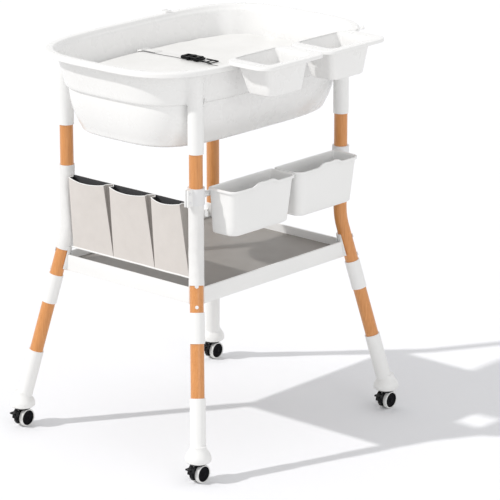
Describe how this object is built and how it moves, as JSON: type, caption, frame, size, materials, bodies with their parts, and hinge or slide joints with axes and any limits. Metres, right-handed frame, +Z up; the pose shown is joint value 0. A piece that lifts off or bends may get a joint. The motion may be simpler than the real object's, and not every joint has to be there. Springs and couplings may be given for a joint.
{
  "type": "baby bath station",
  "caption": "Baby bath tub with a changing pad on splayed wood-tone legs with casters, hanging boxes and bins, a pocket organizer and a lower shelf.",
  "frame": {"origin": "on the floor under the middle of the whole station's box", "axes": "+Z up, +X along the tub away from the pocket organizer, -Y towards the side with the hanging boxes"},
  "size_m": [0.76, 0.7045, 0.968],
  "materials": {
    "white_plastic": "satin",
    "white_gloss_plastic": "gloss",
    "wood_tone_tube": "satin wood grain film",
    "black_plastic": "satin",
    "dark_grey_plastic": "satin",
    "white_tread": "matte",
    "grey_rubber": "matte",
    "white_board": "matte",
    "pad_vinyl": "soft wipe-clean vinyl",
    "belt_webbing": "woven",
    "white_metal": "satin",
    "pale_grey_plastic": "satin",
    "organizer_fabric": "woven",
    "pocket_fabric": "woven",
    "shelf_grey": "fine grain"
  },
  "bodies": {
    "frame": {"post_front_left": "white_plastic", "upper_tube_front_left": "wood_tone_tube", "sleeve_front_left": "white_plastic", "lower_tube_front_left": "wood_tone_tube", "foot_front_left": "white_plastic", "post_back_left": "white_plastic", "upper_tube_back_left": "wood_tone_tube", "sleeve_back_left": "white_plastic", "lower_tube_back_left": "wood_tone_tube", "foot_back_left": "white_plastic", "post_front_right": "white_plastic", "upper_tube_front_right": "wood_tone_tube", "sleeve_front_right": "white_plastic", "lower_tube_front_right": "wood_tone_tube", "foot_front_right": "white_plastic", "post_back_right": "white_plastic", "upper_tube_back_right": "wood_tone_tube", "sleeve_back_right": "white_plastic", "lower_tube_back_right": "wood_tone_tube", "foot_back_right": "white_plastic", "rail_collars": "pale_grey_plastic", "bin_rail": "white_metal", "organizer_panel": "organizer_fabric", "organizer_pockets": "pocket_fabric", "shelf_frame": "white_plastic", "shelf_board": "shelf_grey", "shelf_bolts": "white_plastic"},
    "button_front_left": {"snap_button_front_left": "white_plastic"},
    "caster_front_left": {"caster_fork_front_left": "black_plastic"},
    "wheels_front_left": {"caster_tyres_front_left": "white_tread", "caster_hubs_front_left": "black_plastic"},
    "brake_front_left": {"brake_pedal_front_left": "dark_grey_plastic"},
    "button_back_left": {"snap_button_back_left": "white_plastic"},
    "caster_back_left": {"caster_fork_back_left": "black_plastic"},
    "wheels_back_left": {"caster_tyres_back_left": "white_tread", "caster_hubs_back_left": "black_plastic"},
    "brake_back_left": {"brake_pedal_back_left": "dark_grey_plastic"},
    "button_front_right": {"snap_button_front_right": "white_plastic"},
    "caster_front_right": {"caster_fork_front_right": "black_plastic"},
    "wheels_front_right": {"caster_tyres_front_right": "white_tread", "caster_hubs_front_right": "black_plastic"},
    "brake_front_right": {"brake_pedal_front_right": "dark_grey_plastic"},
    "button_back_right": {"snap_button_back_right": "white_plastic"},
    "caster_back_right": {"caster_fork_back_right": "black_plastic"},
    "wheels_back_right": {"caster_tyres_back_right": "white_tread", "caster_hubs_back_right": "black_plastic"},
    "brake_back_right": {"brake_pedal_back_right": "dark_grey_plastic"},
    "tub": {"tub": "white_gloss_plastic", "rim_clips": "white_gloss_plastic"},
    "plug": {"drain_plug": "grey_rubber"},
    "pad": {"pad_board": "white_board", "pad_cushion": "pad_vinyl", "belt_webbing": "belt_webbing", "buckle_socket": "black_plastic"},
    "tongue": {"buckle_tongue": "black_plastic"},
    "top_box_left": {"top_box_left": "white_gloss_plastic"},
    "top_box_right": {"top_box_right": "white_gloss_plastic"},
    "bin_left": {"bin_left": "white_gloss_plastic"},
    "bin_right": {"bin_right": "white_gloss_plastic"}
  },
  "joints": [
    {"name": "button_press_front_left", "type": "slide", "parent": "frame", "child": "button_front_left", "axis": [0.6989, 0.666, -0.2606], "range_m": [0, 0.002], "stiffness_N_per_m": 600},
    {"name": "caster_swivel_front_left", "type": "hinge", "parent": "frame", "child": "caster_front_left", "pos_m": [-0.341, -0.25425, 0.06], "axis": [0, 0, 1], "continuous": true},
    {"name": "wheel_spin_front_left", "type": "hinge", "parent": "caster_front_left", "child": "wheels_front_left", "pos_m": [-0.337, -0.25425, 0.022], "axis": [0, 1, 0], "continuous": true},
    {"name": "brake_press_front_left", "type": "hinge", "parent": "caster_front_left", "child": "brake_front_left", "pos_m": [-0.363, -0.25425, 0.031], "axis": [0, -1, 0], "range_deg": [0, 15]},
    {"name": "button_press_back_left", "type": "slide", "parent": "frame", "child": "button_back_left", "axis": [0.6989, -0.666, -0.2606], "range_m": [0, 0.002], "stiffness_N_per_m": 600},
    {"name": "caster_swivel_back_left", "type": "hinge", "parent": "frame", "child": "caster_back_left", "pos_m": [-0.341, 0.32175, 0.06], "axis": [0, 0, 1], "continuous": true},
    {"name": "wheel_spin_back_left", "type": "hinge", "parent": "caster_back_left", "child": "wheels_back_left", "pos_m": [-0.337, 0.32175, 0.022], "axis": [0, 1, 0], "continuous": true},
    {"name": "brake_press_back_left", "type": "hinge", "parent": "caster_back_left", "child": "brake_back_left", "pos_m": [-0.363, 0.32175, 0.031], "axis": [0, -1, 0], "range_deg": [0, 15]},
    {"name": "button_press_front_right", "type": "slide", "parent": "frame", "child": "button_front_right", "axis": [-0.6989, 0.666, -0.2606], "range_m": [0, 0.002], "stiffness_N_per_m": 600},
    {"name": "caster_swivel_front_right", "type": "hinge", "parent": "frame", "child": "caster_front_right", "pos_m": [0.341, -0.25425, 0.06], "axis": [0, 0, 1], "continuous": true},
    {"name": "wheel_spin_front_right", "type": "hinge", "parent": "caster_front_right", "child": "wheels_front_right", "pos_m": [0.345, -0.25425, 0.022], "axis": [0, 1, 0], "continuous": true},
    {"name": "brake_press_front_right", "type": "hinge", "parent": "caster_front_right", "child": "brake_front_right", "pos_m": [0.319, -0.25425, 0.031], "axis": [0, -1, 0], "range_deg": [0, 15]},
    {"name": "button_press_back_right", "type": "slide", "parent": "frame", "child": "button_back_right", "axis": [-0.6989, -0.666, -0.2606], "range_m": [0, 0.002], "stiffness_N_per_m": 600},
    {"name": "caster_swivel_back_right", "type": "hinge", "parent": "frame", "child": "caster_back_right", "pos_m": [0.341, 0.32175, 0.06], "axis": [0, 0, 1], "continuous": true},
    {"name": "wheel_spin_back_right", "type": "hinge", "parent": "caster_back_right", "child": "wheels_back_right", "pos_m": [0.345, 0.32175, 0.022], "axis": [0, 1, 0], "continuous": true},
    {"name": "brake_press_back_right", "type": "hinge", "parent": "caster_back_right", "child": "brake_back_right", "pos_m": [0.319, 0.32175, 0.031], "axis": [0, -1, 0], "range_deg": [0, 15]},
    {"name": "tub_lift", "type": "slide", "parent": "frame", "child": "tub", "axis": [0, 0, 1], "range_m": [0, 0.06]},
    {"name": "plug_pull", "type": "slide", "parent": "tub", "child": "plug", "axis": [0, 0, 1], "range_m": [0, 0.03]},
    {"name": "pad_lift", "type": "slide", "parent": "tub", "child": "pad", "axis": [0, 0, 1], "range_m": [0, 0.08]},
    {"name": "buckle_release", "type": "slide", "parent": "pad", "child": "tongue", "axis": [0, -1, 0], "range_m": [0, 0.025]},
    {"name": "top_box_lift_left", "type": "slide", "parent": "tub", "child": "top_box_left", "axis": [0, 0, 1], "range_m": [0, 0.06]},
    {"name": "top_box_lift_right", "type": "slide", "parent": "tub", "child": "top_box_right", "axis": [0, 0, 1], "range_m": [0, 0.06]},
    {"name": "bin_lift_left", "type": "slide", "parent": "frame", "child": "bin_left", "axis": [0, 0, 1], "range_m": [0, 0.06]},
    {"name": "bin_lift_right", "type": "slide", "parent": "frame", "child": "bin_right", "axis": [0, 0, 1], "range_m": [0, 0.06]}
  ]
}
